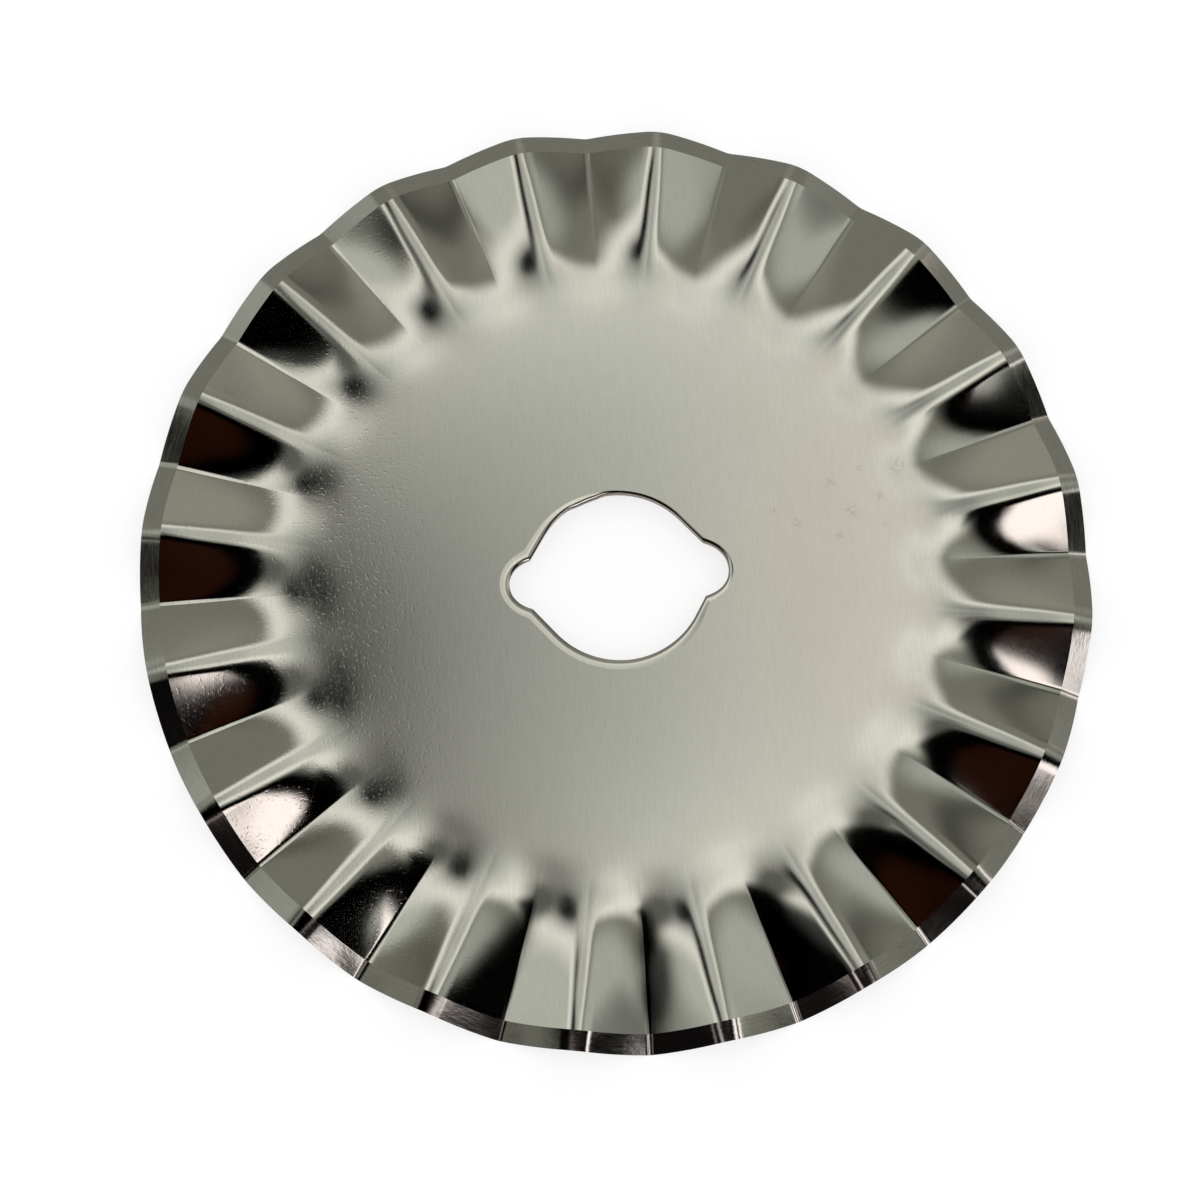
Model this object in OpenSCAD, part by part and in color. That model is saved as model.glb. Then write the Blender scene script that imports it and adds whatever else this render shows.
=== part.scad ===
// Pinking blade for a rotary cutter: a thin steel disc whose rim is pressed into waves,
// with a cutting edge ground on its upper face and a bore with two driving lobes.
// The disc lies flat. Z runs along the bore, X runs through the two lobes,
// and the origin is on the bore's axis at half the sheet's thickness.

/* [Disc] */
// Diameter over the cutting edge
blade_d = 45; // [44:0.5:65]
// Thickness of the sheet
sheet_t = 0.36; // [0.2:0.01:0.6]

/* [Wave] */
// Number of waves round the rim
waves = 20; // [12:1:26]
// Height from valley to crest at the cutting edge
wave_h = 1.15; // [0.4:0.05:1.6]
// Width of the waved band, from the flat centre out to the cutting edge
band_w = 8.5; // [6:0.1:11]
// Width of the ring in which the folds grow out of the flat centre
run_in_w = 7.2; // [1:0.1:8]
// Width of the rounding along a crest, at half thickness
crest_w = 1.1; // [0.3:0.05:1.4]
// Width of the rounding along a valley, at half thickness
valley_w = 0.5; // [0.2:0.05:0.8]
// Angle from the lobes to the nearest valley, turning from X to Y
wave_turn = -2; // [-9:0.5:9]

/* [Cutting edge] */
// Width of the ground bevel
bevel_w = 0.9; // [0.3:0.05:1.5]
// Where the edge lies in the thickness, from -1 at the lower face to 1 at the upper
edge_level = -1; // [-1:0.25:1]

/* [Bore] */
// Diameter of the round bore
bore_d = 8.1; // [6:0.1:10]
// Distance between the tips of the two lobes
lobe_span = 10.4; // [9:0.1:14]
// Diameter of each lobe
lobe_d = 2.6; // [1.4:0.1:3.2]
// Radius that rounds the corner between a lobe and the bore
lobe_fillet = 0.3; // [0.2:0.05:1]
// Width of the rolled edge round the bore, on the upper face
roll_w = 0.4; // [0.1:0.05:0.8]
// Depth of the rolled edge where it meets the bore's wall
roll_depth = 0.06; // [0.02:0.01:0.12]

/* [Hidden] */
blade_r = blade_d/2;
bore_r = bore_d/2;
lobe_r = lobe_d/2;
lobe_x = lobe_span/2 - lobe_r;
flat_r = blade_r - band_w;
// Angle from a crest to the next valley
half_wave = 180/waves;
// Tangent of a facet's tilt, which gives wave_h at the cutting edge
facet_slope = wave_h/(2*blade_r*sin(half_wave/2) - crest_w/4 - valley_w/4);
// Steps of the mesh over the run-in, and over one side of a rounding
run_in_steps = 7;
round_steps = 2;
// Steps for the slopes of the mid surface
probe_r = 0.01;
probe_a = 0.02;
// How far cutters stand clear of the faces that they cut
clear = 1;
// How far a lobe's fillet reaches past the point where it would just touch the walls
bite = 0.005;
round_fn = 96;

// A smooth step from 0 to 1 as u goes from 0 to 1
function smooth(u) = let (c = min(max(u, 0), 1)) c*c*(3 - 2*c);
// Share of the full fold reached at radius r
function grown(r) = smooth((r - flat_r)/run_in_w);
// Length of the arc of angle a at radius r
function arc(r, a) = r*a*PI/180;
// Angle a past a crest, folded back into one half wave
function folded(a) = half_wave - abs(half_wave - abs(a));

// Height of the mid surface at radius r, at angle a past a crest
function mid_z(r, a) =
    let (
        b = folded(a),
        crest_gap = max(crest_w/2 - arc(r, b), 0),
        valley_gap = max(valley_w/2 - arc(r, half_wave - b), 0),
        sharp = r*sin(half_wave/2 - b),
        rounding = crest_gap^2/crest_w - valley_gap^2/valley_w
    )
    grown(r)*facet_slope*(sharp - rounding);

function slope_out(r, a) = (mid_z(r + probe_r, a) - mid_z(r - probe_r, a))/(2*probe_r);
function slope_round(r, a) = (mid_z(r, a + probe_a) - mid_z(r, a - probe_a))/(2*arc(r, probe_a));

// Point of the sheet's upper (side 1), lower (side -1) or mid (side 0) surface,
// in a wave whose crest is at angle crest_a
function sheet_point(r, a, crest_a, side) =
    let (
        tilt = [-slope_out(r, a), -slope_round(r, a), 1],
        shift = side*sheet_t/2*tilt/norm(tilt),
        out = r + shift[0],
        turn = crest_a + a
    )
    [
        out*cos(turn) - shift[1]*sin(turn),
        out*sin(turn) + shift[1]*cos(turn),
        mid_z(r, a) + shift[2]
    ];

// Angles from one crest down to the next valley, with the roundings divided
function descent(r) = [
    for (i = [0:round_steps]) crest_w/2*i/round_steps*180/PI/r,
    half_wave/2,
    for (i = [round_steps:-1:1]) half_wave - valley_w/2*i/round_steps*180/PI/r
];
// Angles of one whole wave, from a valley over the crest to just before the next valley
function wave_angles(r) = let (d = descent(r), n = len(d))
    [-half_wave, for (i = [n - 1:-1:1]) -d[i], for (i = [0:n - 1]) d[i]];
function ring(r, side) = [
    for (w = [0:waves - 1], a = wave_angles(r))
        sheet_point(r, a, wave_turn + (2*w + 1)*half_wave, side)
];
// The cutting edge, at its full radius all round
function edge_ring() = [
    for (w = [0:waves - 1], a = wave_angles(blade_r))
        let (
            lift = norm([slope_out(blade_r, a), slope_round(blade_r, a), 1]),
            turn = wave_turn + (2*w + 1)*half_wave + a
        )
        [
            blade_r*cos(turn),
            blade_r*sin(turn),
            mid_z(blade_r, a) + edge_level*sheet_t/2*lift
        ]
];

// Radii of the mesh's rings on each face, the cutting edge left out
face_radii = [
    for (i = [0:run_in_steps]) flat_r + run_in_w*i/run_in_steps,
    blade_r - bevel_w
];
ring_count = len(face_radii);
ring_size = waves*len(wave_angles(flat_r));

// Two triangles for each quad between two rings that start at points a and b
function ribbon(a, b) = [
    for (j = [0:ring_size - 1])
        let (k = (j + 1) % ring_size)
        each [[a + j, a + k, b + j], [a + k, b + k, b + j]]
];
function flipped(faces) = [for (f = faces) [f[0], f[2], f[1]]];

// The waved and ground sheet, with no bore
module waved_sheet() {
    below = ring_count*ring_size;
    edge = 2*below;
    last = (ring_count - 1)*ring_size;
    points = [
        for (side = [1, -1], r = face_radii) each ring(r, side),
        each edge_ring()
    ];
    upper = [
        for (i = [0:ring_count - 2]) each ribbon(i*ring_size, (i + 1)*ring_size),
        each ribbon(last, edge)
    ];
    lower = [
        for (i = [0:ring_count - 2])
            each ribbon(below + i*ring_size, below + (i + 1)*ring_size),
        each ribbon(below + last, edge)
    ];
    upper_middle = [[for (j = [ring_size - 1:-1:0]) j]];
    lower_middle = [[for (j = [0:ring_size - 1]) below + j]];
    faces = concat(upper, flipped(lower), upper_middle, lower_middle);
    polyhedron(points, faces);
}

// The corner between the bore and a lobe, above the X axis
module lobe_corner() {
    from_bore = bore_r + lobe_fillet - bite;
    from_lobe = lobe_r + lobe_fillet - bite;
    x = (from_bore^2 + lobe_x^2 - from_lobe^2)/(2*lobe_x);
    y = sqrt(from_bore^2 - x^2);
    difference() {
        polygon([[0, 0], [x, y], [lobe_x, 0]]);
        translate([x, y]) circle(r = lobe_fillet, $fn = round_fn);
    }
}

module lobed_outline() {
    circle(r = bore_r, $fn = round_fn);
    for (side = [0, 1]) mirror([side, 0]) {
        translate([lobe_x, 0]) circle(r = lobe_r, $fn = round_fn);
        lobe_corner();
        mirror([0, 1]) lobe_corner();
    }
}

// A cone that opens the upper face round a hole of radius r
module rolled_edge(r) {
    rise = clear*roll_w/roll_depth;
    translate([0, 0, sheet_t/2 - roll_depth])
        cylinder(h = roll_depth + clear, r1 = r, r2 = r + roll_w + rise, $fn = round_fn);
}

module arbor_hole() {
    translate([0, 0, -sheet_t/2 - clear])
        linear_extrude(height = sheet_t + 2*clear) lobed_outline();
    rolled_edge(bore_r);
    for (side = [-1, 1]) translate([side*lobe_x, 0, 0]) rolled_edge(lobe_r);
}

module blade() {
    color("silver") difference() {
        waved_sheet();
        arbor_hole();
    }
}

blade();
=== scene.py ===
import math

import bpy
import numpy as np
from mathutils import Matrix, Vector


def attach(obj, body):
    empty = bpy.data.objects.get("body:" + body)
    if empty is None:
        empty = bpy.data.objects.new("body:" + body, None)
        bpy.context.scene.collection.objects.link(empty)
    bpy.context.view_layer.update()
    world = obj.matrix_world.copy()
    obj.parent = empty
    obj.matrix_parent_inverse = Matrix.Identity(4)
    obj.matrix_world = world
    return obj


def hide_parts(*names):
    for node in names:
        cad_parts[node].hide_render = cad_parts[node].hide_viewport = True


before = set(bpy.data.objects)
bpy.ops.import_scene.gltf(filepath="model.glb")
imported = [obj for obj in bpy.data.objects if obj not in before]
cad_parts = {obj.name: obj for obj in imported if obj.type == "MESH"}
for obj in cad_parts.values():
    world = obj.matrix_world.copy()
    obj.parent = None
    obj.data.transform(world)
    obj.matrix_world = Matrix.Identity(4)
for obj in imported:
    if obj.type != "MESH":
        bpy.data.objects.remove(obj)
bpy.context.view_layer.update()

MM = 0.001

# ---------------------------------------------------------------- sizes, in mm and degrees
BLADE_R = 22.5
SHEET_T = 0.36
WAVES = 20
HALF_WAVE = math.pi / WAVES
WAVE_TURN = math.radians(-2)         # a valley line lies at this angle past +X

WAVE_H = 1.12
CREST_W, CREST_FLARE = 0.69, 0.34    # half width of the rounding on a fold's outside, and how much is lost inwards
VALLEY_W, VALLEY_FLARE = 0.214, 0.33
BEND = 0.12                          # the sheet's own thickness widens a fold's outside by this
RUN_IN = (13.9, 2.05)                # where the folds start, and how long they take to reach their slope
RUN_OUT = (22.3, 3.64)               # where they are full, and how long their slope takes to fade
RUN_IN_BOW, RUN_OUT_BOW = 0.2, 0.62  # how much later both are beside a fold than at the middle of a facet
BEAD = (-0.007, 14.7, 0.8)           # shallow groove where the press met the flat: depth, radius, width
PUCKER = (0.012, 14.65, 0.83)        # waves of the flat's border: height, radius, width
RIPPLE = (0.0026, 17.4, 0.64)
SAG = (0.024, 18.0, 1.47)
FACET_BULGE = 0.0065
FACET_TWIST = 0.0019

BEVEL_W = 0.92
BEVEL_TILT = math.radians(21.1)

HOLE_X = 0.055
BORE_R = 4.06
LOBES = {                            # side: centre from the bore's axis, radius, where the bore's wall turns
    1: (3.97, 1.25, 38.9, 32.6),     # straight above and below the X axis, in degrees
    -1: (4.07, 1.13, 34.9, 38.1),
}
CORNER = 0.42                        # how far a corner between wall and lobe is blended
BURR = (0.1, 107.5, 11.0)            # metal that the punch left in the bore: height, middle and half width in degrees
ROLL_W, ROLL_SLOPE, ROLL_DEPTH = 0.46, 0.05, 0.065
ROLL_TURN = math.radians(232)        # the roll is widest in this direction


# ---------------------------------------------------------------- the blade's two faces
def smooth(u):
    c = np.clip(u, 0.0, 1.0)
    return c * c * (3 - 2 * c)


def bell(r, at, width):
    return np.exp(-((r - at) / width) ** 2)


def growth(r, start, rise, end, fade):
    """Share of the full fold at radius r: its slope rises over one ring, holds, and fades over another."""
    r1, r2 = start + rise, end - fade
    u = np.clip((r - start) / rise, 0, 1)
    v = np.clip((r - r2) / fade, 0, 1)
    grown = rise / 2 * u ** 3 * (2 - u) + np.clip(r - r1, 0, r2 - r1) + fade * (v - v ** 3 + v ** 4 / 2)
    return grown / (r2 - r1 + (rise + fade) / 2)


def waved(r, a, crest_w, valley_w):
    """Height of the folded surface over the flat's, in mm, at angle a past a valley."""
    fold = HALF_WAVE - np.abs((a + HALF_WAVE) % (2 * HALF_WAVE) - HALF_WAVE)    # 0 on a crest line
    side = 1 - 2 * fold / HALF_WAVE                                             # 1 crest, 0 mid facet, -1 valley
    slope = WAVE_H / (2 * BLADE_R * math.sin(HALF_WAVE / 2) - CREST_W / 2 - VALLEY_W / 2)
    g = growth(r, RUN_IN[0] + RUN_IN_BOW * side ** 2, RUN_IN[1], RUN_OUT[0] + RUN_OUT_BOW * side ** 2, RUN_OUT[1])
    crest = crest_w - CREST_FLARE * (1 - g)
    valley = np.maximum(valley_w - VALLEY_FLARE * (1 - g), 0.02)
    cut = np.maximum(crest - r * fold, 0) ** 2 / (2 * crest)
    fill = np.maximum(valley - r * (HALF_WAVE - fold), 0) ** 2 / (2 * valley)
    z = g * slope * (r * np.sin(HALF_WAVE / 2 - fold) - cut + fill)
    z += g * FACET_BULGE * np.cos(math.pi * side / 2) ** 2 + g * FACET_TWIST * (r - 19.5) ** 2 * side
    z += BEAD[0] * bell(r, *BEAD[1:])
    z += (PUCKER[0] * bell(r, *PUCKER[1:]) + SAG[0] * bell(r, *SAG[1:])) * np.cos(WAVES * (a - HALF_WAVE))
    z += RIPPLE[0] * bell(r, *RIPPLE[1:]) * np.cos(2 * WAVES * (a - HALF_WAVE))
    return z


def top_z(r, a):
    return waved(r, a, CREST_W, VALLEY_W) + SHEET_T / 2


def bottom_z(r, a):
    return waved(r, a, CREST_W - BEND, VALLEY_W + BEND) - SHEET_T / 2 * (1 + 0.12 * smooth((r - 14) / 5))


def hole_radius(a, out=0.0):
    """Radius of the hole's outline, moved into the metal by out, round its own centre at each angle."""
    bore = BORE_R + out
    radius = np.zeros(a.shape) + bore
    for side, (at, lobe_r, above, below) in LOBES.items():
        for half, turn in ((1, math.radians(above)), (-1, math.radians(below))):
            x, y = side * np.cos(a), half * np.sin(a)
            b = np.arctan2(y, x)
            inside = (lobe_r + out) ** 2 - (at * y) ** 2
            lobe = np.where(inside > 0, at * x + np.sqrt(np.maximum(inside, 0)), at * x + 2 * inside)
            wall = bore / np.cos(np.clip(turn - b, 0, 1.2)) * (1 - 0.35 * smooth(1 - b / 0.2))
            joined = np.maximum(lobe, wall) + np.maximum(CORNER - np.abs(lobe - wall), 0) ** 2 / (4 * CORNER)
            radius = np.where((b >= 0) & (x >= 0), joined, radius)
    away = (np.degrees(a) - BURR[1] + 180) % 360 - 180
    radius -= BURR[0] * np.exp(-(away / BURR[2]) ** 4) * np.exp(-out / 0.1)
    return radius


# ---------------------------------------------------------------- the blade's mesh
def fold_columns():
    """Angles past a valley, closer together at the folds."""
    crest = np.linspace(0, math.radians(2.0), 9)[:-1]
    facet = np.linspace(math.radians(2.0), math.radians(8.2), 9)[:-1]
    valley = np.linspace(math.radians(8.2), HALF_WAVE, 8)
    half = np.concatenate([crest, facet, valley])
    wave = np.concatenate([half, (2 * HALF_WAVE - half)[::-1][1:-1]])
    return np.concatenate([wave + HALF_WAVE + 2 * HALF_WAVE * k for k in range(WAVES)])


fold_angles = fold_columns()
COUNT = len(fold_angles)
even_angles = fold_angles[0] + np.arange(COUNT) * 2 * math.pi / COUNT
row_angles = even_angles + WAVE_TURN


roll_share = 0.3 + 0.7 * smooth(0.72 + 0.75 * np.cos(row_angles - ROLL_TURN))


def outline(out):
    """The hole's outline moved into the metal by out, less where the roll is narrower."""
    a = row_angles
    return hole_radius(a, out * roll_share)[:, None] * np.stack([np.cos(a), np.sin(a)], 1) + [HOLE_X, 0]


def hole_ring(out, z):
    return np.column_stack([outline(out), np.full(COUNT, z)])


def blend_ring(t, z):
    """A ring between the rolled edge and the first round ring."""
    inner = outline(ROLL_W)
    outer = 7.0 * np.stack([np.cos(row_angles), np.sin(row_angles)], 1)
    return np.column_stack([inner * (1 - t) + outer * t, np.full(COUNT, z)])


def face_ring(r, height, drop=0.0):
    t = smooth((r - 7.0) / 5.0)
    a = even_angles * (1 - t) + fold_angles * t
    z = height(np.full(COUNT, r), a) - drop
    return np.column_stack([r * np.cos(a + WAVE_TURN), r * np.sin(a + WAVE_TURN), z])


STEEL, GROUND, SHEARED_PAINTED_SHADE = 0, 1, 2
bevel_r = BLADE_R - BEVEL_W
flat_radii = (7.0, 8.5, 10.0, 11.5, 12.6, 13.2)

rings, finish = [], []               # finish is the material from each ring to the next


def add(ring, material=STEEL):
    rings.append(ring)
    finish.append(material)


for d in (0, 0.015, 0.04, 0.08, 0.13, 0.19, 0.26, 0.33, ROLL_W):
    left = ROLL_W - d
    add(hole_ring(d, SHEET_T / 2 - ROLL_SLOPE * left - (ROLL_DEPTH - ROLL_SLOPE * ROLL_W) * (left / ROLL_W) ** 5))
roll_line = len(rings) - 1
for t in (0.25, 0.5, 0.75):
    add(blend_ring(t, SHEET_T / 2))
for r in (*flat_radii, *np.arange(13.6, 18.5, 0.24), *np.linspace(18.6, bevel_r, 9)[:-1]):
    add(face_ring(r, top_z))
bevel_line = len(rings)
for r in np.linspace(bevel_r, BLADE_R, 4):
    add(face_ring(r, top_z, (r - bevel_r) * math.tan(BEVEL_TILT)), GROUND)
rim_line = len(rings) - 1
for r in (*np.linspace(BLADE_R - 0.5, 18.6, 8), *np.arange(13.6, 18.5, 0.35)[::-1], *flat_radii[::-1]):
    add(face_ring(r, bottom_z))
for t in (0.75, 0.5, 0.25):
    add(blend_ring(t, -SHEET_T / 2))
add(hole_ring(ROLL_W, -SHEET_T / 2))
add(hole_ring(0.03, -SHEET_T / 2))
lower_line = len(rings)
add(hole_ring(0.0, -SHEET_T / 2 + 0.03), SHEARED_PAINTED_SHADE)

points = np.concatenate(rings) * MM
n_rings = len(rings)
here = np.arange(n_rings)[:, None] * COUNT + np.arange(COUNT)
there = np.roll(here, -1, axis=0)
quads = np.stack([here, there, np.roll(there, -1, axis=1), np.roll(here, -1, axis=1)], -1).reshape(-1, 4)

mesh = bpy.data.meshes.new("blade_steel")
mesh.vertices.add(len(points))
mesh.vertices.foreach_set("co", points.ravel())
mesh.loops.add(quads.size)
mesh.loops.foreach_set("vertex_index", quads.ravel())
mesh.polygons.add(len(quads))
mesh.polygons.foreach_set("loop_start", np.arange(len(quads)) * 4)
mesh.polygons.foreach_set("material_index", np.repeat(finish, COUNT))
mesh.polygons.foreach_set("use_smooth", np.ones(len(quads), dtype=bool))
mesh.update(calc_edges=True)
uv = mesh.uv_layers.new(name="flat")
uv.data.foreach_set("uv", (points[quads.ravel()][:, :2] / (50 * MM) + 0.5).ravel())

# lines that stay sharp: the roll's border, the bevel's, the rim and the hole's wall
ends = np.empty(len(mesh.edges) * 2, dtype=np.int64)
mesh.edges.foreach_get("vertices", ends)
ends = ends.reshape(-1, 2) // COUNT
sharp = (ends[:, 0] == ends[:, 1]) & np.isin(ends[:, 0], [0, roll_line, bevel_line, rim_line, lower_line])
mesh.attributes.new("sharp_edge", "BOOLEAN", "EDGE").data.foreach_set("value", sharp)
mesh.validate()

blade = bpy.data.objects.new("blade_steel", mesh)
bpy.context.scene.collection.objects.link(blade)


# ---------------------------------------------------------------- materials
class Nodes:
    """A short way to build one material's nodes."""

    def __init__(self, name):
        self.material = bpy.data.materials.new(name)
        self.material.use_nodes = True
        self.tree = self.material.node_tree
        self.tree.nodes.clear()
        self.out = self.tree.nodes.new("ShaderNodeOutputMaterial")

    def add(self, kind, inputs=None, **settings):
        node = self.tree.nodes.new("ShaderNode" + kind)
        for key, value in settings.items():
            setattr(node, key, value)
        for key, value in (inputs or {}).items():
            self.join(value, node.inputs[key])
        return node

    def join(self, value, socket):
        if isinstance(value, bpy.types.NodeSocket):
            self.tree.links.new(value, socket)
        else:
            socket.default_value = value

    def place(self):
        return self.add("TexCoord").outputs["Object"]

    def noise(self, vector, scale, detail=2.0, rough=0.5, stretch=(1, 1, 1)):
        """Noise whose features are 1/scale metres, times stretch."""
        mapped = self.add("Mapping", {"Vector": vector, "Scale": tuple(scale / s for s in stretch)})
        return self.add("TexNoise", {"Vector": mapped.outputs[0], "Scale": 1.0, "Detail": detail,
                                     "Roughness": rough}).outputs[0]

    def spread(self, value, low, high, to_low=0.0, to_high=1.0):
        """Value from low to high, turned into to_low to to_high."""
        return self.add("MapRange", {"Value": value, "From Min": low, "From Max": high,
                                     "To Min": to_low, "To Max": to_high}, interpolation_type="SMOOTHSTEP").outputs[0]

    def math(self, operation, *values):
        return self.add("Math", dict(enumerate(values)), operation=operation).outputs[0]

    def mix(self, share, a, b):
        node = self.add("Mix", data_type="RGBA")
        for socket, value in ((node.inputs[0], share), (node.inputs[6], a), (node.inputs[7], b)):
            self.join(value, socket)
        return node.outputs[2]

    def bump(self, height, distance, normal=None):
        node = self.add("Bump", {"Height": height, "Distance": distance, "Strength": 1.0})
        if normal is not None:
            self.join(normal, node.inputs["Normal"])
        return node.outputs[0]


STAINS = [                           # small spots of dried oil: x, y, radius in mm
    (8.74, 1.87, 0.32), (10.48, 3.64, 0.4), (12.10, 4.25, 0.3), (12.83, 2.78, 0.4), (12.94, 1.33, 0.28),
    (10.69, 0.99, 0.36), (7.71, 2.55, 0.26), (12.46, 2.92, 0.24), (13.84, 4.29, 0.6), (11.4, 2.2, 0.5),
]


def brushed_steel():
    n = Nodes("brushed_steel")
    at = n.place()
    streak = n.noise(at, 15000, 3, 0.6, (1, 14, 1))
    fine = n.noise(at, 26000, 2, 0.5, (1, 9, 1))
    cloud = n.noise(at, 160, 2, 0.5, (1, 1.6, 1))
    dents = n.noise(at, 6500, 2, 0.5)
    colour = n.mix(n.spread(streak, 0.3, 0.7), (0.60, 0.60, 0.58, 1), (0.64, 0.64, 0.62, 1))
    colour = n.mix(n.spread(cloud, 0.35, 0.7, 0, 0.35), colour, (0.60, 0.61, 0.575, 1))
    stain = None
    for x, y, r in STAINS:
        away = n.add("VectorMath", {0: at, 1: (x * MM, y * MM, 0.18 * MM)}, operation="DISTANCE").outputs["Value"]
        spot = n.spread(away, r * MM, r * MM * 0.2)
        stain = spot if stain is None else n.math("MAXIMUM", stain, spot)
    stain = n.math("MULTIPLY", stain, n.spread(n.noise(at, 5000, 3, 0.6), 0.4, 0.62, 0, 0.36))
    colour = n.mix(stain, colour, (0.42, 0.29, 0.23, 1))
    rough = n.math("ADD", n.spread(fine, 0.25, 0.75, 0.05, 0.09), n.spread(cloud, 0.4, 0.75, 0, 0.03))
    normal = n.bump(streak, 2e-7)
    normal = n.bump(fine, 1.2e-7, normal)
    left = n.spread(n.add("SeparateXYZ", {0: at}).outputs[0], -0.006, -0.012)
    normal = n.bump(n.math("MULTIPLY", left, n.spread(dents, 0.55, 0.8)), -1.2e-6, normal)
    tangent = n.add("Tangent", direction_type="UV_MAP", uv_map="flat").outputs[0]
    shader = n.add("BsdfPrincipled", {"Base Color": colour, "Metallic": 1.0, "Roughness": rough,
                                      "Anisotropic": 0.5, "Normal": normal, "Tangent": tangent})
    n.join(shader.outputs[0], n.out.inputs[0])
    return n.material


def ground_steel():
    """The bevel: fine marks of the wheel, along the rim."""
    n = Nodes("ground_steel")
    at = n.place()
    part = n.add("SeparateXYZ", {0: at}).outputs
    turn = n.math("MULTIPLY", n.math("ARCTAN2", part[1], part[0]), BLADE_R * MM)
    out = n.math("SQRT", n.math("ADD", n.math("MULTIPLY", part[0], part[0]), n.math("MULTIPLY", part[1], part[1])))
    polar = n.add("CombineXYZ", {0: turn, 1: out, 2: 0.0}).outputs[0]
    marks = n.noise(polar, 16000, 2, 0.6, (18, 1, 1))
    chips = n.noise(polar, 1500, 3, 0.7, (1.6, 1, 1))
    colour = n.mix(n.spread(marks, 0.3, 0.7), (0.58, 0.58, 0.56, 1), (0.65, 0.65, 0.63, 1))
    colour = n.mix(n.spread(chips, 0.6, 0.75, 0, 0.35), colour, (0.40, 0.39, 0.36, 1))
    normal = n.bump(marks, 6e-7)
    normal = n.bump(chips, 4e-6, normal)
    tangent = n.add("Tangent", direction_type="RADIAL", axis="Z").outputs[0]
    shader = n.add("BsdfPrincipled", {"Base Color": colour, "Metallic": 1.0, "Roughness": n.spread(marks, 0.2, 0.8, 0.06, 0.11),
                                      "Anisotropic": 0.4, "Anisotropic Rotation": 0.25, "Normal": normal,
                                      "Tangent": tangent})
    n.join(shader.outputs[0], n.out.inputs[0])
    return n.material


def sheared_steel_painted_shade():
    """The hole's wall: torn by the punch, with a dark brown colour that is painted shade."""
    n = Nodes("sheared_steel_painted_shade")
    at = n.place()
    tear = n.noise(at, 7000, 3, 0.7, (1, 1, 4))
    # the dark browns are painted shade on the hole's wall, varied by the torn texture
    colour = n.mix(n.spread(tear, 0.3, 0.7), (0.16, 0.115, 0.095, 1), (0.34, 0.29, 0.25, 1))
    shader = n.add("BsdfPrincipled", {"Base Color": colour, "Metallic": 1.0, "Roughness": n.spread(tear, 0.3, 0.7, 0.35, 0.55),
                                      "Normal": n.bump(tear, 1.2e-5)})
    n.join(shader.outputs[0], n.out.inputs[0])
    return n.material


for material in (brushed_steel(), ground_steel(), sheared_steel_painted_shade()):
    mesh.materials.append(material)

# ---------------------------------------------------------------- floor
floor_mesh = bpy.data.meshes.new("floor")
s, z = 1.0, points[:, 2].min()
floor_mesh.from_pydata([(-s, -s, z), (s, -s, z), (s, s, z), (-s, s, z)], [], [(0, 1, 2, 3)])
floor = bpy.data.objects.new("floor", floor_mesh)
bpy.context.scene.collection.objects.link(floor)
n = Nodes("pale_floor")
path = n.add("LightPath").outputs
seen = n.math("MAXIMUM", path["Is Camera Ray"], n.math("MAXIMUM", path["Is Glossy Ray"], path["Is Transmission Ray"]))
paper = n.add("BsdfDiffuse", {"Color": (0.38, 0.38, 0.38, 1)})
glow = n.add("Emission", {"Color": (1, 1, 1, 1), "Strength": n.math("MULTIPLY", seen, 0.63)})
both = n.add("AddShader", {0: paper.outputs[0], 1: glow.outputs[0]})
n.join(both.outputs[0], n.out.inputs[0])
n.material.cycles.emission_sampling = "NONE"
floor_mesh.materials.append(n.material)

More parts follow.
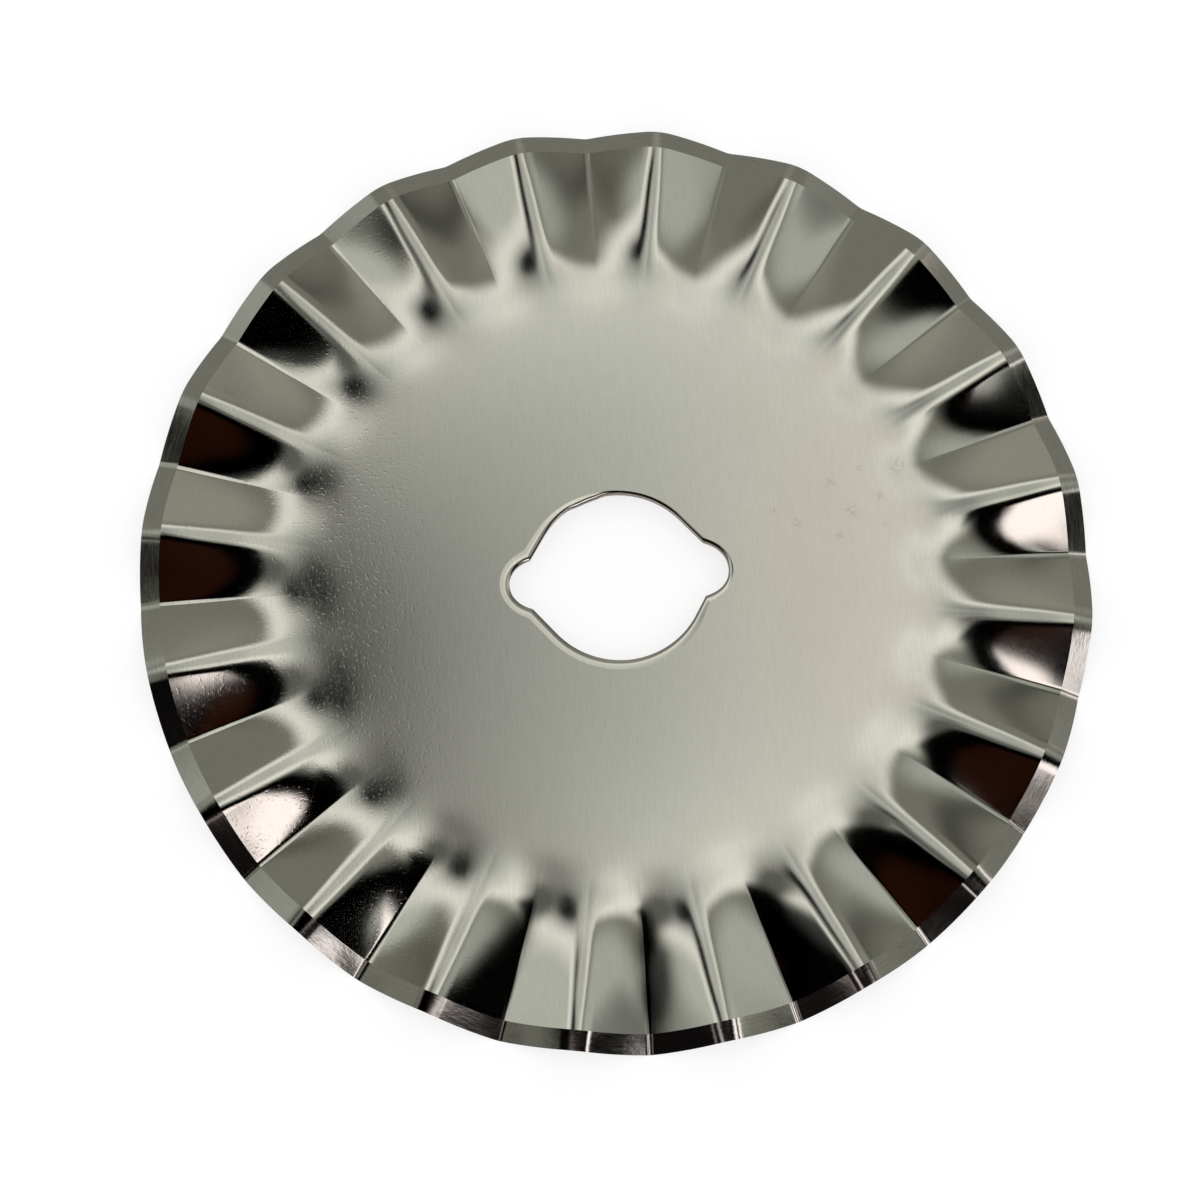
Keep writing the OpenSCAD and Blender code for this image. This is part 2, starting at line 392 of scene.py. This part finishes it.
# ---------------------------------------------------------------- the room that the steel mirrors
# Soft patches on a dome that only reflections see. Each has its place, as the tangent of half its angle
# from +Z along X and Y, its half size, its turn, whether it is round, its softness and its colour.
DOME_R = 1.5
PATCHES = [
    ("room", (0.00, 0.00), (9.0, 9.0), 0, False, 0.1, (0.15, 0.148, 0.125)),
    ("room_left", (-0.50, 0.25), (0.09, 0.20), -12, True, 0.10, (0.27, 0.275, 0.24)),
    ("room_right", (0.53, 0.33), (0.10, 0.10), 0, True, 0.12, (0.19, 0.19, 0.165)),
    ("wall_mid", (0.05, 0.46), (0.10, 0.16), 0, True, 0.14, (0.24, 0.23, 0.19)),
    ("wall_right", (0.28, 0.33), (0.05, 0.12), 40, True, 0.09, (0.06, 0.06, 0.05)),
    ("wall_left", (-0.25, 0.27), (0.07, 0.035), 0, True, 0.07, (0.085, 0.085, 0.07)),
    ("left_soft", (-0.27, 0.12), (0.12, 0.09), 0, True, 0.08, (0.41, 0.415, 0.365)),
    ("right_soft", (0.31, 0.10), (0.15, 0.11), 0, True, 0.11, (0.345, 0.355, 0.315)),
    ("right_soft_edge", (0.41, 0.34), (0.03, 0.06), 20, True, 0.05, (0.28, 0.28, 0.25)),
    ("right_shade", (0.385, 0.02), (0.05, 0.045), 0, True, 0.08, (0.14, 0.145, 0.125)),
    ("lamp", (-0.045, 0.125), (0.148, 0.128), 0, True, 0.07, (0.665, 0.65, 0.585)),
    ("lamp_right", (0.068, 0.08), (0.045, 0.085), 0, True, 0.05, (0.70, 0.69, 0.61)),
    ("lamp_middle", (0.03, 0.13), (0.042, 0.05), 0, True, 0.05, (0.43, 0.435, 0.39)),
    ("lamp_warm", (0.066, 0.127), (0.016, 0.035), 0, True, 0.03, (0.52, 0.485, 0.43)),
    ("lamp_shade", (-0.050, 0.118), (0.060, 0.052), 0, True, 0.085, (0.085, 0.085, 0.078)),
    ("lamp_stem", (-0.046, 0.118), (0.034, 0.032), 0, True, 0.035, (0.006, 0.006, 0.006)),
    ("lamp_foot", (-0.035, 0.035), (0.065, 0.06), 0, True, 0.06, (0.09, 0.09, 0.08)),
    ("front_dark", (-0.135, -0.19), (0.21, 0.20), 0, False, 0.04, (0.0, 0.0, 0.0)),
    ("front_dark_right", (0.23, -0.19), (0.19, 0.17), 0, False, 0.06, (0.0, 0.0, 0.0)),
    ("left_edge_dark", (-0.215, 0.008), (0.075, 0.024), 0, True, 0.045, (0.03, 0.03, 0.028)),
    ("brown", (-0.08, -0.16), (0.125, 0.07), 0, True, 0.05, (0.012, 0.0032, 0.0015)),
    ("window", (0.112, -0.170), (0.053, 0.056), 0, False, 0.036, (1.06, 0.94, 0.90)),
    ("window_side", (0.188, -0.138), (0.026, 0.010), -45, True, 0.026, (0.42, 0.42, 0.38)),
    ("low_dark", (-0.05, -0.37), (0.40, 0.13), 0, False, 0.05, (0.004, 0.003, 0.003)),
    ("low_streak", (0.06, -0.345), (0.15, 0.014), -20, True, 0.03, (0.76, 0.67, 0.64)),
    ("low_streak_left", (-0.17, -0.345), (0.13, 0.009), -33, True, 0.026, (0.30, 0.25, 0.23)),
    ("spot_front", (-0.006, -0.455), (0.022, 0.034), 0, True, 0.026, (1.1, 1.0, 0.97)),
    ("spot_low_right", (0.30, -0.28), (0.03, 0.115), -35, True, 0.03, (1.1, 1.0, 0.97)),
    ("spot_low", (0.150, -0.378), (0.018, 0.014), 0, True, 0.025, (1.0, 0.9, 0.88)),
    ("spot_right", (0.43, -0.26), (0.025, 0.09), -12, True, 0.03, (1.1, 1.0, 0.97)),
    ("between_spots", (0.368, -0.35), (0.036, 0.026), 0, True, 0.02, (0.0, 0.0, 0.0)),
    ("right_column", (0.535, 0.03), (0.022, 0.10), -15, True, 0.03, (0.85, 0.78, 0.75)),
    ("right_warm", (0.58, 0.17), (0.02, 0.06), 0, True, 0.04, (0.45, 0.37, 0.33)),
    ("right_dark", (0.615, 0.012), (0.045, 0.034), -30, True, 0.02, (0.0, 0.0, 0.0)),
    ("right_dark_low", (0.53, -0.155), (0.03, 0.06), 20, True, 0.02, (0.006, 0.006, 0.006)),
    ("left_dark", (-0.54, 0.005), (0.04, 0.03), 40, True, 0.03, (0.0, 0.0, 0.0)),
    ("left_dark_mid", (-0.42, -0.02), (0.018, 0.05), 15, True, 0.02, (0.01, 0.01, 0.01)),
    ("left_dark_low", (-0.455, -0.16), (0.022, 0.06), -15, True, 0.03, (0.0, 0.0, 0.0)),
    ("left_low_dark", (-0.34, -0.24), (0.05, 0.12), 35, True, 0.04, (0.002, 0.002, 0.002)),
]
STEEL_SHARE = 0.62                   # patches are given as they look in the steel


def room_colours(u):
    out = np.zeros((len(u), 3))
    for name, at, size, turn, is_round, soft, shade in PATCHES:
        c, s = math.cos(math.radians(turn)), math.sin(math.radians(turn))
        d = u - np.array(at)
        q = np.abs(np.stack([d[:, 0] * c + d[:, 1] * s, d[:, 1] * c - d[:, 0] * s], 1))
        if is_round:
            outside = (np.hypot(q[:, 0] / size[0], q[:, 1] / size[1]) - 1) * min(size)
        else:
            e = q - np.array(size)
            outside = np.linalg.norm(np.maximum(e, 0), axis=1) + np.minimum(e.max(axis=1), 0)
        cover = (1 - smooth(outside / soft + 0.5))[:, None]
        out = out * (1 - cover) + np.array(shade) * cover
    return out / STEEL_SHARE


lat = np.radians(np.concatenate([np.arange(0, 70, 0.8), np.arange(70, 97, 2.0)]))
lon = np.radians(np.arange(0, 360, 1.5))
unit = np.stack([np.outer(np.sin(lat), np.cos(lon)), np.outer(np.sin(lat), np.sin(lon)),
                 np.outer(np.cos(lat), np.ones(len(lon)))], -1).reshape(-1, 3)
i, j = np.meshgrid(np.arange(len(lat) - 1), np.arange(len(lon)), indexing="ij")
near, far = (i * len(lon) + j).ravel(), (i * len(lon) + (j + 1) % len(lon)).ravel()
room_mesh = bpy.data.meshes.new("room")
room_mesh.from_pydata((unit * DOME_R).tolist(), [],
                      np.stack([near, far, far + len(lon), near + len(lon)], 1).tolist())
layer = room_mesh.color_attributes.new("level", "FLOAT_COLOR", "POINT")
level = room_colours(unit[:, :2] / (1 + np.maximum(unit[:, 2:], -0.5)))
layer.data.foreach_set("color", np.column_stack([level, np.ones(len(level))]).ravel())
room = bpy.data.objects.new("room", room_mesh)
room.rotation_euler.z = WAVE_TURN
bpy.context.scene.collection.objects.link(room)
n = Nodes("room")
glow = n.add("Emission", {"Color": n.add("VertexColor", layer_name="level").outputs[0]})
n.join(glow.outputs[0], n.out.inputs[0])
n.material.cycles.emission_sampling = "NONE"
room_mesh.materials.append(n.material)
room.visible_camera = False
room.visible_diffuse = False
room.visible_shadow = False
room.visible_transmission = False
room.visible_volume_scatter = False

# ---------------------------------------------------------------- light and camera
world = bpy.data.worlds.new("studio")
bpy.context.scene.world = world
world.use_nodes = True
world.node_tree.nodes["Background"].inputs[0].default_value = (1, 1, 1, 1)
world.node_tree.nodes["Background"].inputs[1].default_value = 1.0
world.cycles_visibility.glossy = False
bpy.context.scene.view_settings.view_transform = "Standard"

camera_data = bpy.data.cameras.new("camera")
camera_data.lens, camera_data.sensor_width = 103.0, 36.0
camera_data.clip_start, camera_data.clip_end = 0.001, 10.0
camera = bpy.data.objects.new("camera", camera_data)
bpy.context.scene.collection.objects.link(camera)
forward = Vector((0.06516, 0.24683, -0.96687)).normalized()
right = forward.cross(Vector((0.08858, 0.96367, 0.25198))).normalized()
turned = Matrix((right, right.cross(forward), -forward)).transposed().to_4x4()
camera.matrix_world = Matrix.Translation(Vector((-11.503, -40.973, 156.460)) * MM) @ turned
bpy.context.scene.camera = camera

# ---------------------------------------------------------------- hand over
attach(blade, "root")
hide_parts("blade")
